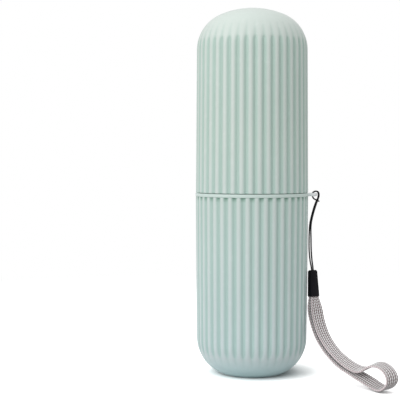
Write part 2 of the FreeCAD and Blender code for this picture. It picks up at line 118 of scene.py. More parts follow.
class CupSettings(PropertyGroup):
    """The two ribbed cups."""
    rib_count: IntProperty(name="Ribs", description="Ribs round each cup", default=40, min=8)
    rib_columns: IntProperty(name="Columns", description="Mesh columns in one rib", default=12, min=6)
    rib_depth: FloatProperty(
        name="Rib depth", description="Crest of a rib to the bottom of a groove", default=0.0009,
        unit="LENGTH")
    groove_form: FloatProperty(
        name="Groove form", description="0.5 gives round ribs with sharp grooves, 1 a soft wave",
        default=0.55, subtype="FACTOR", min=0.1, max=1)
    upper_turn: FloatProperty(
        name="Upper turn", description="Turn of the upper cup's first rib", default=math.radians(7.7),
        subtype="ANGLE")
    lower_turn: FloatProperty(
        name="Lower turn", description="Turn of the lower cup's first rib", default=math.radians(4.9),
        subtype="ANGLE")
    mouth_radius: FloatProperty(
        name="Mouth radius", description="Rib crests at the mouth", default=0.03115, unit="LENGTH")
    draft: FloatProperty(
        name="Draft", description="Taper of the walls", default=math.radians(0.4), subtype="ANGLE")
    length: FloatProperty(
        name="Length", description="Mouth to the top of the dome",
        default=UPPER_BOX[1].z - UPPER_BOX[0].z, unit="LENGTH")
    dome_height: FloatProperty(
        name="Dome height", description="Shoulder to the top of the dome", default=0.0228, unit="LENGTH")
    corner_radius: FloatProperty(
        name="Corner radius", description="Bend from the wall into the dome", default=0.021, unit="LENGTH")
    runout: FloatProperty(
        name="Run-out", description="How far round the bend the grooves fade away",
        default=math.radians(52), subtype="ANGLE")
    scoop: FloatProperty(
        name="Scoop", description="How far round the bend the main part of a groove ends",
        default=math.radians(16.5), subtype="ANGLE")
    lower_scoop: FloatProperty(
        name="Lower scoop", description="The same on the lower cup", default=math.radians(25),
        subtype="ANGLE")
    scoop_start: FloatProperty(
        name="Scoop start", description="Where that end of a groove begins, as a share of the scoop",
        default=0.45, subtype="FACTOR", min=0, max=1)
    scoop_share: FloatProperty(
        name="Scoop share", description="Part of the depth that ends at the scoop", default=0.60,
        subtype="FACTOR", min=0, max=1)
    wall: FloatProperty(name="Wall", description="Wall under a crest", default=0.0028, unit="LENGTH")
    floor_wall: FloatProperty(
        name="Floor", description="Thickness over the foot", default=0.0024, unit="LENGTH")
    lip: FloatProperty(name="Lip", description="Rounded edge of the mouth", default=0.0003, unit="LENGTH")
    crest_colour: FloatVectorProperty(
        name="Crest colour", description="Plastic on the crests", default=display(206, 217, 211),
        subtype="COLOR", min=0, max=1)
    # Painted shade: the plastic's colour drawn darker and greener in the grooves, where they are shaded and
    # light bounces between the ribs
    groove_shade_colour: FloatVectorProperty(
        name="Groove colour", description="Plastic in the grooves", default=display(176, 200, 190),
        subtype="COLOR", min=0, max=1)


class CollarSettings(PropertyGroup):
    """The collar between the cups, with its lanyard eye."""
    ring_radius: FloatProperty(
        name="Ring radius", description="Visible ring", default=-COLLAR_BOX[0].x, unit="LENGTH")
    ring_thickness: FloatProperty(
        name="Ring thickness", description="Visible ring", default=0.0018, unit="LENGTH")
    neck_radius: FloatProperty(
        name="Neck radius", description="Sleeve inside the upper cup", default=0.02805, unit="LENGTH")
    neck_lead: FloatProperty(
        name="Lead", description="Bevel at the top of the neck", default=0.0008, unit="LENGTH")
    spigot_radius: FloatProperty(
        name="Spigot radius", description="Sleeve inside the lower cup", default=0.0282, unit="LENGTH")
    bore_radius: FloatProperty(
        name="Bore radius", description="Inside of the sleeve", default=0.02655, unit="LENGTH")
    edge: FloatProperty(name="Edge", description="Rounding of the edges", default=0.00022, unit="LENGTH")
    eye_reach: FloatProperty(
        name="Eye reach", description="Ring to the end of the eye tab", default=0.0049, unit="LENGTH")
    eye_radius: FloatProperty(
        name="Eye radius", description="Rounded end of the eye tab", default=0.0032, unit="LENGTH")
    eye_hole: FloatProperty(
        name="Eye hole", description="Radius of the cord's hole", default=0.0014, unit="LENGTH")
    eye_bar: FloatProperty(
        name="Eye bar", description="Bar between the hole and the end", default=0.0019, unit="LENGTH")
    eye_root: FloatProperty(
        name="Eye root", description="How far the eye tab reaches into the ring", default=0.002,
        unit="LENGTH")
    eye_edge: FloatProperty(
        name="Eye edge", description="Rounding of the eye's edges", default=0.0007, unit="LENGTH")
    ring_steps: IntProperty(
        name="Ring steps", description="Mesh columns round the ring", default=160, min=24)
    eye_steps: IntProperty(
        name="Eye steps", description="Mesh columns round the eye", default=72, min=16)
    colour: FloatVectorProperty(
        name="Colour", description="Plastic of the collar", default=display(206, 222, 214),
        subtype="COLOR", min=0, max=1)
    # Painted light: the thin eye tab drawn in a near-white copy of the collar's mint plastic, for the light
    # it catches
    eye_painted_light_colour: FloatVectorProperty(
        name="Eye colour", description="Plastic of the thin eye tab", default=display(245, 247, 246),
        subtype="COLOR", min=0, max=1)


class LanyardSettings(PropertyGroup):
    """The cord, its end piece and the woven strap."""
    heading: FloatProperty(
        name="Heading", description="Strap's direction, from +X towards -Y", default=math.radians(53),
        subtype="ANGLE")
    clip_place: FloatVectorProperty(
        name="Clip place", description="Middle of the clip's lower end", default=(0.0341, -0.0056, 0.0433),
        subtype="TRANSLATION", unit="LENGTH")
    clip_tilt: FloatProperty(
        name="Clip tilt", description="Lean of the clip", default=math.radians(4), subtype="ANGLE")
    clip_length: FloatProperty(
        name="Clip length", description="Clip from end to end", default=0.0145, unit="LENGTH")
    clip_foot: FloatVectorProperty(
        name="Clip foot", description="Width and depth at the strap", default=(0.0060, 0.0042), size=2,
        unit="LENGTH")
    clip_head: FloatVectorProperty(
        name="Clip head", description="Width and depth at the cord", default=(0.0048, 0.0036), size=2,
        unit="LENGTH")
    clip_corner: FloatProperty(
        name="Clip corner", description="Corners of the clip", default=0.0010, unit="LENGTH")
    clip_bevel: FloatProperty(
        name="Clip bevel", description="Bevel round the clip's head", default=0.0006, unit="LENGTH")
    clip_pocket: FloatProperty(
        name="Clip pocket", description="Depth of the strap's pocket", default=0.0060, unit="LENGTH")
    clip_bore: FloatProperty(
        name="Clip bore", description="Depth of the cord's slot", default=0.0035, unit="LENGTH")
    clip_fit: FloatProperty(
        name="Clip fit", description="Clearance in the clip", default=0.0001, unit="LENGTH")
    clip_edge: FloatProperty(
        name="Clip edge", description="Rounding of the clip's edges", default=0.00018, unit="LENGTH")
    clip_colour: FloatVectorProperty(
        name="Clip colour", description="Moulded cord end", default=display(14, 13, 18),
        subtype="COLOR", min=0, max=1)
    cord_diameter: FloatProperty(
        name="Cord", description="Thickness of the cord", default=0.0008, unit="LENGTH")
    cord_pitch: FloatProperty(
        name="Cord pitch", description="Between the two strands in the clip", default=0.0010, unit="LENGTH")
    strand_shift: FloatProperty(
        name="Strand shift", description="How far each strand lies aside below the knot", default=0.0003,
        unit="LENGTH")
    loop_gap: FloatProperty(
        name="Loop gap", description="How much further out one strand lies in the hitch", default=0.0003,
        unit="LENGTH")
    cord_sides: IntProperty(name="Cord sides", description="Mesh columns round the cord", default=10, min=6)
    braid_pitch: FloatProperty(
        name="Braid pitch", description="One turn of the braid along the cord", default=0.0016,
        unit="LENGTH")
    cord_length: FloatProperty(
        name="Cord length", description="Cord from end to end", default=0.1209, unit="LENGTH")
    cord_colour: FloatVectorProperty(
        name="Cord colour", description="Braided cord", default=display(24, 22, 26),
        subtype="COLOR", min=0, max=1)
    strap_width: FloatProperty(
        name="Strap width", description="Woven strap", default=0.0080, unit="LENGTH")
    strap_thickness: FloatProperty(
        name="Strap thickness", description="Woven strap", default=0.0012, unit="LENGTH")
    strap_gather: FloatProperty(
        name="Strap gather", description="Width where the clip grips it", default=0.0049, unit="LENGTH")
    strap_flare: FloatProperty(
        name="Strap flare", description="Length in which it opens out", default=0.0090, unit="LENGTH")
    strap_length: FloatProperty(
        name="Strap length", description="Strap from end to end", default=0.1823, unit="LENGTH")
    strap_roll: FloatProperty(
        name="Strap roll", description="How far the band leans towards the front", default=math.radians(14),
        subtype="ANGLE")
    roll_reach: FloatVectorProperty(
        name="Roll reach", description="Where the lean begins, is full, starts to ease and has eased",
        size=4, default=(0.018, 0.038, 0.046, 0.058), unit="LENGTH")
    roll_end: FloatProperty(
        name="Roll end", description="Share of the lean that stays at the end of the loop", default=0.3,
        subtype="FACTOR", min=0, max=1)
    layer_pitch: FloatProperty(
        name="Layer pitch", description="Between the layers in the clip", default=0.0018, unit="LENGTH")
    rib_pitch: FloatProperty(
        name="Rib pitch", description="Between the fine ribs across the strap's ground", default=0.0005,
        unit="LENGTH")
    yarn_columns: IntProperty(name="Yarn columns", description="Yarns across the strap", default=5, min=2)
    yarn_pitch: FloatProperty(
        name="Yarn pitch", description="Between yarns along the strap", default=0.0015, unit="LENGTH")
    yarn_length: FloatProperty(
        name="Yarn length", description="One raised yarn", default=0.0019, unit="LENGTH")
    yarn_width: FloatProperty(
        name="Yarn width", description="One raised yarn", default=0.00094, unit="LENGTH")
    yarn_height_share: FloatProperty(
        name="Yarn height", description="Height of a yarn, as a share of the strap's thickness", default=0.4,
        subtype="FACTOR", min=0, max=1)
    yarn_lift_share: FloatProperty(
        name="Yarn lift", description="A yarn's middle over the strap's, as a share of the thickness",
        default=0.36, subtype="FACTOR", min=0, max=1)
    yarn_spread_share: FloatProperty(
        name="Yarn spread", description="Share of the strap's width that the yarns cover", default=0.90,
        subtype="FACTOR", min=0, max=1)
    yarn_lean: FloatProperty(
        name="Yarn lean", description="Slant of the yarns", default=math.radians(22), subtype="ANGLE")
    yarn_colour: FloatVectorProperty(
        name="Yarn colour", description="Raised yarns of the strap", default=display(253, 241, 243),
        subtype="COLOR", min=0, max=1)
    ground_colour: FloatVectorProperty(
        name="Ground colour", description="Ground of the strap", default=display(126, 106, 108),
        subtype="COLOR", min=0, max=1)


class StageSettings(PropertyGroup):
    """Floor, light and camera."""
    camera_place: FloatVectorProperty(
        name="Camera", description="Camera's place", default=(0, -0.600, 0.1195),
        subtype="TRANSLATION", unit="LENGTH")
    camera_yaw: FloatProperty(
        name="Yaw", description="Camera's turn to the left", default=math.radians(2.753), subtype="ANGLE")
    camera_pitch: FloatProperty(
        name="Pitch", description="Camera's turn downwards", default=math.radians(2.227), subtype="ANGLE")
    lens: FloatProperty(
        name="Lens", description="Focal length on a 36 mm sensor", default=97.08, unit="CAMERA")
    floor_colour: FloatVectorProperty(
        name="Floor colour", description="Pale floor", default=(0.5, 0.5, 0.5),
        subtype="COLOR", min=0, max=1)
    floor_gain: FloatProperty(
        name="Floor gain", description="How much paler the floor is where it is seen", default=3.3)
    floor_reach: FloatProperty(
        name="Floor reach", description="Middle of the floor to its sides", default=4.0, unit="LENGTH")
    floor_drop: FloatProperty(
        name="Floor drop", description="Gap that keeps the floor clear of the foot", default=0.00005,
        unit="LENGTH")
    white_reach: FloatVectorProperty(
        name="White reach", description="Where the floor begins to turn white and where it is white", size=2,
        default=(0.12, 0.5), unit="LENGTH")
    # Painted shadow: a close shadow drawn into the floor's colour under the case, set by the next four
    # values
    painted_shadow_place: FloatVectorProperty(
        name="Contact", description="Middle of the close shadow under the case", default=(0.006, 0.004, 0),
        subtype="TRANSLATION", unit="LENGTH")
    painted_shadow_reach: FloatVectorProperty(
        name="Contact reach", description="Where the close shadow begins to fade and where it ends", size=2,
        default=(0.014, 0.033), unit="LENGTH")
    painted_shadow_strength: FloatProperty(
        name="Contact strength", description="Strength of the close shadow", default=0.66,
        subtype="FACTOR", min=0, max=1)
    painted_shadow_colour: FloatVectorProperty(
        name="Contact colour", description="Tone of the close shadow", default=(0.04, 0.04, 0.04),
        subtype="COLOR", min=0, max=1)
    key_place: FloatVectorProperty(
        name="Key place", description="Middle of the soft light", default=(-0.77, -0.85, 0.71),
        subtype="TRANSLATION", unit="LENGTH")
    key_aim: FloatVectorProperty(
        name="Key aim", description="Where the soft light points", default=(0, 0, 0.1),
        subtype="TRANSLATION", unit="LENGTH")
    key_size: FloatProperty(
        name="Key size", description="Sides of the soft light", default=0.9, unit="LENGTH")
    key_power: FloatProperty(
        name="Key power", description="Soft light at the upper left", default=7.2, unit="POWER")
    ambient: FloatProperty(name="Ambient", description="Light from the sides", default=0.56)
    overhead: FloatProperty(name="Overhead", description="Light from straight above", default=1.02)


# Small helpers for node trees


def put(tree, kind, inputs=None, **settings):
    """New node with its settings, its plain values and its links."""
    node = tree.nodes.new(kind)
    place = len(tree.nodes)
    node.location = (200 * (place % 9), -260 * (place // 9))
    for name, value in settings.items():
        setattr(node, name, value)
    for key, value in (inputs or {}).items():
        if isinstance(value, bpy.types.NodeSocket):
            tree.links.new(value, node.inputs[key])
        else:
            node.inputs[key].default_value = value
    return node


def figure(tree, operation, *values):
    """Result of a Math node."""
    return put(tree, "ShaderNodeMath", dict(enumerate(values)), operation=operation).outputs[0]


def spread(tree, value, low, high, to_low, to_high):
    """Value mapped from one range to another, held at the ends."""
    inputs = {"Value": value, "From Min": low, "From Max": high, "To Min": to_low, "To Max": to_high}
    return put(tree, "ShaderNodeMapRange", inputs).outputs["Result"]


def noise(tree, coords, scale, detail):
    """Strength of a noise texture."""
    inputs = {"Vector": coords, "Scale": scale, "Detail": detail}
    return put(tree, "ShaderNodeTexNoise", inputs).outputs["Fac"]


def blend(tree, share, first, second, kind="MIX"):
    """Mix of two colours."""
    node = put(tree, "ShaderNodeMix", data_type="RGBA", blend_type=kind)
    for socket, value in zip((node.inputs[0], node.inputs[6], node.inputs[7]), (share, first, second)):
        if isinstance(value, bpy.types.NodeSocket):
            tree.links.new(value, socket)
        else:
            socket.default_value = value if isinstance(value, float) else (*value, 1)
    return node.outputs[2]


def shade(colour, factor):
    """Colour with each channel multiplied by a factor."""
    return tuple(channel * factor for channel in colour)


def bare_tree(owner):
    """Emptied node tree of a material or a world."""
    owner.use_nodes = True
    owner.node_tree.nodes.clear()
    return owner.node_tree


def new_finish(name):
    """Empty material with its shader."""
    material = bpy.data.materials.new(name)
    tree = bare_tree(material)
    shader = put(tree, "ShaderNodeBsdfPrincipled")
    put(tree, "ShaderNodeOutputMaterial", {"Surface": shader.outputs[0]})
    return material, tree, shader


def dress_shader(tree, shader, colour, roughness, height, strength, distance):
    """Link colour, roughness and bump to a shader."""
    bump = put(tree, "ShaderNodeBump", {"Height": height, "Strength": strength, "Distance": distance})
    tree.links.new(colour, shader.inputs["Base Color"])
    tree.links.new(roughness, shader.inputs["Roughness"])
    tree.links.new(bump.outputs[0], shader.inputs["Normal"])


# Finishes


def moulded_finish(name, crest, groove):
    """Satin moulded plastic, finely grained and scuffed paler in patches on the crests, with painted shade
    in the grooves and under the collar ring, painted cool light low down and a painted reflection at the
    foot.
    """
    material, tree, shader = new_finish(name)
    coords = put(tree, "ShaderNodeTexCoord").outputs["Object"]
    depth = put(tree, "ShaderNodeAttribute", attribute_name="groove").outputs["Fac"]
    height = put(tree, "ShaderNodeSeparateXYZ", {0: coords}).outputs[2]
    grain = noise(tree, coords, scale=2400, detail=3)
    cloud = noise(tree, coords, scale=28, detail=3)
    rub = noise(tree, coords, scale=260, detail=4)
    # Painted shade: the crest colour darkens towards the groove's shade colour with the depth of the groove
    colour = blend(tree, spread(tree, depth, 0.03, 0.5, 0.0, 1.0), crest, groove)
    raised = figure(tree, "SUBTRACT", 1.0, depth)
    scuff = figure(tree, "MULTIPLY", spread(tree, rub, 0.58, 0.74, 0.0, 0.14), raised)
    colour = blend(tree, scuff, colour, (0.82, 0.86, 0.84))
    # Painted light: a cooler tint over the lower half and a paler cyan reflection at the foot
    for heights, tint in ((PAINTED_COOL_LIGHT_HEIGHTS, (0.96, 1.0, 1.09)), (PAINTED_FOOT_REFLECTION_HEIGHTS, (1.0, 1.2, 1.2))):
        colour = blend(tree, spread(tree, height, *heights, 1.0, 0.0), colour, tint, "MULTIPLY")
    # Painted shade: the tops of the lower cup's grooves darkened just under the collar ring, which shades
    # them
    mouth = LOWER_BOX[1].z
    begin, full = (mouth - drop for drop in RING_SHADE)
    below = figure(tree, "MULTIPLY", figure(tree, "LESS_THAN", height, mouth),
                   spread(tree, height, begin, full, 0.0, 0.7))
    under_ring = figure(tree, "MULTIPLY", below, spread(tree, depth, 0.1, 0.5, 0.0, 1.0))
    ring_shade_colour = tuple(channel * share for channel, share in zip(groove, (0.38, 0.55, 0.47)))
    colour = blend(tree, under_ring, colour, ring_shade_colour)
    tone = spread(tree, cloud, 0.3, 0.7, 0.975, 1.02)
    colour = put(tree, "ShaderNodeHueSaturation", {"Color": colour, "Value": tone}).outputs[0]
    rubbed = figure(tree, "MULTIPLY", scuff, 0.5)
    roughness = figure(tree, "ADD", spread(tree, grain, 0.3, 0.7, 0.44, 0.56), rubbed)
    dress_shader(tree, shader, colour, roughness, grain, strength=0.14, distance=0.00005)
    shader.inputs["Sheen Weight"].default_value = 0.30
    shader.inputs["Sheen Roughness"].default_value = 0.35
    return material


def clip_finish(colour):
    """Black moulded plastic with a spark-eroded grain."""
    material, tree, shader = new_finish("cord_end_plastic")
    coords = put(tree, "ShaderNodeTexCoord").outputs["Object"]
    grain = noise(tree, coords, scale=5200, detail=2)
    cloud = noise(tree, coords, scale=300, detail=3)
    tint = blend(tree, spread(tree, cloud, 0.42, 0.72, 0.0, 0.5), colour, shade(colour, 2.2))
    roughness = spread(tree, grain, 0.3, 0.7, 0.40, 0.56)
    dress_shader(tree, shader, tint, roughness, grain, strength=0.25, distance=0.00004)
    shader.inputs["Specular IOR Level"].default_value = 0.11
    return material


def braid_finish(colour, pitch):
    """Braided cord: two sets of strands crossing along the UV map, with painted shade between them."""
    material, tree, shader = new_finish("cord_braid")
    uv = put(tree, "ShaderNodeSeparateXYZ", {0: put(tree, "ShaderNodeTexCoord").outputs["UV"]})
    turn = figure(tree, "MULTIPLY", uv.outputs[0], math.tau * BRAID_STRANDS)
    run = figure(tree, "MULTIPLY", uv.outputs[1], math.tau / pitch)
    strands = [figure(tree, "SINE", figure(tree, way, turn, run)) for way in ("ADD", "SUBTRACT")]
    # Painted shade: the cord darkened where the strands dip between one another
    height = spread(tree, figure(tree, "MAXIMUM", *strands), -0.6, 1.0, 0.0, 1.0)
    tint = blend(tree, height, shade(colour, 0.35), colour)
    roughness = spread(tree, height, 0.0, 1.0, 0.85, 0.6)
    dress_shader(tree, shader, tint, roughness, height, strength=0.6, distance=0.00006)
    shader.inputs["Specular IOR Level"].default_value = 0.2
    return material


def ground_finish(colour, selvedge, rib_pitch, stitch_pitch):
    """Ground of the strap: fine ribs across with painted shade between them, paler at the edges."""
    material, tree, shader = new_finish("strap_ground")
    coords = put(tree, "ShaderNodeTexCoord")
    uv = put(tree, "ShaderNodeSeparateXYZ", {0: coords.outputs["UV"]})
    rib, stitch = (figure(tree, "SINE", figure(tree, "MULTIPLY", uv.outputs[1], math.tau / pitch))
                   for pitch in (rib_pitch, stitch_pitch))
    fuzz = noise(tree, coords.outputs["Object"], scale=3200, detail=4)
    height = figure(tree, "ADD", spread(tree, rib, -1.0, 1.0, 0.0, 1.0), fuzz)
    edge = figure(tree, "ABSOLUTE", uv.outputs[0])
    hem = blend(tree, spread(tree, stitch, -0.3, 0.7, 0.0, 0.4), selvedge, colour)
    tint = blend(tree, spread(tree, edge, 0.90, 0.97, 0.0, 1.0), colour, hem)
    # Painted shade: the ground darkened in the hollows between its fine ribs
    shaded = blend(tree, spread(tree, height, 0.3, 1.4, 0.35, 0.0), tint, shade(colour, 0.5))
    roughness = spread(tree, fuzz, 0.3, 0.7, 0.8, 0.95)
    dress_shader(tree, shader, shaded, roughness, height, strength=0.5, distance=0.00008)
    return material


def yarn_finish(colour):
    """Raised yarns: each a little different, with fine fibres."""
    material, tree, shader = new_finish("strap_yarn")
    coords = put(tree, "ShaderNodeTexCoord").outputs["Object"]
    tint = put(tree, "ShaderNodeAttribute", attribute_name="tint").outputs["Fac"]
    fibre = noise(tree, coords, scale=6500, detail=3)
    darker = shade(colour, 0.66)
    base = blend(tree, spread(tree, tint, 0.0, 1.0, 0.0, 0.55), colour, darker)
    base = blend(tree, spread(tree, fibre, 0.35, 0.65, 0.22, 0.0), base, darker)
    roughness = spread(tree, fibre, 0.3, 0.7, 0.72, 0.9)
    dress_shader(tree, shader, base, roughness, fibre, strength=0.4, distance=0.00005)
    shader.inputs["Sheen Weight"].default_value = 0.15
    return material


# Geometry Nodes trees


def new_tree(name, sockets):
    """Geometry tree with named inputs."""
    tree = bpy.data.node_groups.new(name, "GeometryNodeTree")
    tree.interface.new_socket(name="Geometry", in_out="OUTPUT", socket_type="NodeSocketGeometry")
    for label, kind in sockets:
        tree.interface.new_socket(name=label, in_out="INPUT", socket_type=kind)
    return tree, put(tree, "NodeGroupInput").outputs


def close_tree(tree, geometry, finish):
    """Smooth shading, real geometry and material at the end of a tree."""
    smooth = put(tree, "GeometryNodeSetShadeSmooth", {"Geometry": geometry})
    real = put(tree, "GeometryNodeRealizeInstances", {"Geometry": smooth.outputs[0]})
    done = put(tree, "GeometryNodeSetMaterial", {"Geometry": real.outputs[0], "Material": finish})
    put(tree, "NodeGroupOutput", {0: done.outputs[0]})


def ribbed_cup_tree():
    """A half section turned round the axis, its ribs pressed in by a wave that fades with the section."""
    tree, given = new_tree("Ribbed Cup", [
        ("Section", "NodeSocketObject"), ("Rows", "NodeSocketInt"), ("Columns", "NodeSocketInt"),
        ("Ribs", "NodeSocketInt"), ("Rib Depth", "NodeSocketFloat"), ("Groove Form", "NodeSocketFloat"),
        ("Turn", "NodeSocketFloat"), ("Finish", "NodeSocketMaterial")])
    section = put(tree, "GeometryNodeObjectInfo", {"Object": given["Section"]}).outputs["Geometry"]
    around = figure(tree, "ADD", given["Columns"], 1.0)
    sheet = put(tree, "GeometryNodeMeshGrid", {"Vertices X": around, "Vertices Y": given["Rows"]}).outputs[0]
    index = put(tree, "GeometryNodeInputIndex").outputs[0]
    column = figure(tree, "FLOOR", figure(tree, "DIVIDE", figure(tree, "ADD", index, 0.5), given["Rows"]))
    row = figure(tree, "SUBTRACT", index, figure(tree, "MULTIPLY", column, given["Rows"]))
    place = put(tree, "GeometryNodeInputPosition").outputs[0]
    share = put(tree, "GeometryNodeInputNamedAttribute", {"Name": "rib_share"}, data_type="FLOAT").outputs[0]
    point = put(tree, "GeometryNodeSampleIndex", data_type="FLOAT_VECTOR", domain="POINT")
    fade = put(tree, "GeometryNodeSampleIndex", data_type="FLOAT", domain="POINT")
    for node, value in ((point, place), (fade, share)):
        tree.links.new(section, node.inputs["Geometry"])
        tree.links.new(value, node.inputs["Value"])
        tree.links.new(row, node.inputs["Index"])
    angle = figure(tree, "DIVIDE", figure(tree, "MULTIPLY", column, math.tau), given["Columns"])
    wave = figure(tree, "COSINE", figure(tree, "MULTIPLY", angle, given["Ribs"]))
    crest = figure(tree, "MAXIMUM", figure(tree, "MULTIPLY_ADD", wave, 0.5, 0.5), 0.0)
    sunk = figure(tree, "SUBTRACT", 1.0, figure(tree, "POWER", crest, given["Groove Form"]))
    groove = figure(tree, "MULTIPLY", sunk, fade.outputs[0])
    flat = put(tree, "ShaderNodeSeparateXYZ", {0: point.outputs[0]})
    radius = figure(tree, "SUBTRACT", flat.outputs[0], figure(tree, "MULTIPLY", groove, given["Rib Depth"]))
    turned = figure(tree, "ADD", angle, given["Turn"])
    spot = put(tree, "ShaderNodeCombineXYZ", {
        0: figure(tree, "MULTIPLY", radius, figure(tree, "COSINE", turned)),
        1: figure(tree, "MULTIPLY", radius, figure(tree, "SINE", turned)),
        2: flat.outputs[2]})
    kept = put(tree, "GeometryNodeStoreNamedAttribute",
               {"Geometry": sheet, "Name": "groove", "Value": groove}, data_type="FLOAT", domain="POINT")
    moved = put(tree, "GeometryNodeSetPosition", {"Geometry": kept.outputs[0], "Position": spot.outputs[0]})
    joined = put(tree, "GeometryNodeMergeByDistance", {"Geometry": moved.outputs[0], "Distance": TINY})
    close_tree(tree, joined.outputs[0], given["Finish"])
    return tree


def yarn_tree():
    """A short plump yarn on each point, laid along the point's own direction."""
    tree, given = new_tree("Woven Yarns", [
        ("Geometry", "NodeSocketGeometry"), ("Yarn Length", "NodeSocketFloat"),
        ("Yarn Width", "NodeSocketFloat"), ("Yarn Height", "NodeSocketFloat"),
        ("Finish", "NodeSocketMaterial")])
    yarn = put(tree, "GeometryNodeMeshUVSphere", {"Segments": 8, "Rings": 4, "Radius": 0.5}).outputs[0]
    kinds = {"along": "FLOAT_VECTOR", "outward": "FLOAT_VECTOR", "squeeze": "FLOAT"}
    along, outward, squeeze = (
        put(tree, "GeometryNodeInputNamedAttribute", {"Name": name}, data_type=kind).outputs[0]
        for name, kind in kinds.items())
    turn = put(tree, "FunctionNodeAxesToRotation", {"Primary Axis": outward, "Secondary Axis": along},
               primary_axis="Z", secondary_axis="X")
    size = put(tree, "ShaderNodeCombineXYZ", {
        0: given["Yarn Length"], 1: figure(tree, "MULTIPLY", given["Yarn Width"], squeeze),
        2: given["Yarn Height"]})
    laid = put(tree, "GeometryNodeInstanceOnPoints", {
        "Points": given["Geometry"], "Instance": yarn, "Rotation": turn.outputs[0],
        "Scale": size.outputs[0]})
    close_tree(tree, laid.outputs[0], given["Finish"])
    return tree


def run_tree(context, obj, tree, values):
    """Plain mesh of an object's Geometry Nodes, with its normals set outwards."""
    modifier = obj.modifiers.new("nodes", "NODES")
    modifier.node_group = tree
    for item in tree.interface.items_tree:
        if item.in_out == "INPUT" and item.name in values:
            modifier[item.identifier] = values[item.name]
    graph = context.evaluated_depsgraph_get()
    made = obj.evaluated_get(graph)
    mesh = bpy.data.meshes.new_from_object(made, preserve_all_data_layers=True, depsgraph=graph)
    obj.modifiers.remove(modifier)
    form = bmesh.new()
    form.from_mesh(mesh)
    bmesh.ops.recalc_face_normals(form, faces=form.faces)
    form.to_mesh(mesh)
    form.free()
    return mesh


# Mesh helpers


def new_object(context, name, data):
    """Object with its data, linked into the scene."""
    obj = bpy.data.objects.new(name, data)
    context.collection.objects.link(obj)
    return obj


def drop_object(obj):
    """Remove a helper object and its data."""
    data = obj.data
    bpy.data.objects.remove(obj)
    (bpy.data.curves if isinstance(data, bpy.types.Curve) else bpy.data.meshes).remove(data)


def bridge(form, rings, closed=False):
    """New faces between rings of as many points each."""
    pairs = list(zip(rings, rings[1:])) + ([(rings[-1], rings[0])] if closed else [])
    return [form.faces.new((first[i - 1], first[i], second[i], second[i - 1]))
            for first, second in pairs for i in range(len(first))]


def skin(rings, across, runs):
    """Form of a tube with closed ends, its UV map given round each ring and along the tube."""
    form = bmesh.new()
    uv = form.loops.layers.uv.new("UVMap")
    rings = [[form.verts.new(point) for point in ring] for ring in rings]
    for first, second, start, end in zip(rings, rings[1:], runs, runs[1:]):
        for i, (left, right) in enumerate(across):
            face = form.faces.new((first[i - 1], first[i], second[i], second[i - 1]))
            spots = ((left, start), (right, start), (right, end), (left, end))
            for corner, spot in zip(face.loops, spots):
                corner[uv].uv = spot
    form.faces.new(rings[0])
    form.faces.new(rings[-1])
    return form


def finish_mesh(name, form, finishes, sharp):
    """Mesh of a form: doubles merged, faces outwards, edges sharper than an angle kept sharp."""
    bmesh.ops.remove_doubles(form, verts=form.verts, dist=TINY)
    bmesh.ops.recalc_face_normals(form, faces=form.faces)
    for face in form.faces:
        face.smooth = True
    mesh = bpy.data.meshes.new(name)
    form.to_mesh(mesh)
    form.free()
    mesh.set_sharp_from_angle(angle=sharp)
    for finish in finishes:
        mesh.materials.append(finish)
    return mesh


def fit(obj, body, slot, *nodes):
    """Tie a piece to its body and hide the solids that it stands for; its finish slot is not used."""
    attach(obj, body)
    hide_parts(*nodes)


def rounded_outline(width, depth, corner, steps):
    """Points once round a rectangle with round corners about its middle."""
    points = []
    for quarter, (side, front) in enumerate(((1, 1), (-1, 1), (-1, -1), (1, -1))):
        for step in range(steps + 1):
            angle = (quarter + step / steps) * math.pi / 2
            points.append((side * (width / 2 - corner) + corner * math.cos(angle),
                           front * (depth / 2 - corner) + corner * math.sin(angle)))
    return points


def smooth_line(context, name, points):
    """Points read from the smooth spline of a cord's route."""
    curve = bpy.data.curves.new(name, "CURVE")
    curve.dimensions = "3D"
    curve.resolution_u = 12
    spline = curve.splines.new("NURBS")
    spline.points.add(len(points) - 1)
    for knot, point in zip(spline.points, points):
        knot.co = (*point, 1)
    spline.order_u = 3
    spline.use_endpoint_u = True
    helper = new_object(context, name, curve)
    context.view_layer.update()
    mesh = bpy.data.meshes.new_from_object(helper)
    line = [vertex.co.copy() for vertex in mesh.vertices]
    bpy.data.meshes.remove(mesh)
    drop_object(helper)
    return line


def stations(line):
    """Distance along a smooth line, place and direction at each of its points."""
    gone, found = 0, []
    for i, point in enumerate(line):
        before, after = line[max(i - 1, 0)], line[min(i + 1, len(line) - 1)]
        gone += (point - line[i - 1]).length if i else 0
        found.append((gone, point, (after - before).normalized()))
    return found


def place_at(stops, distance):
    """Place and direction at a distance along a smooth line."""
    for (start, first, way), (end, second, other) in zip(stops, stops[1:]):
        if end >= distance:
            share = (distance - start) / (end - start)
            return first.lerp(second, share), way.lerp(other, share).normalized()
    return stops[-1][1], stops[-1][2]


# Pieces


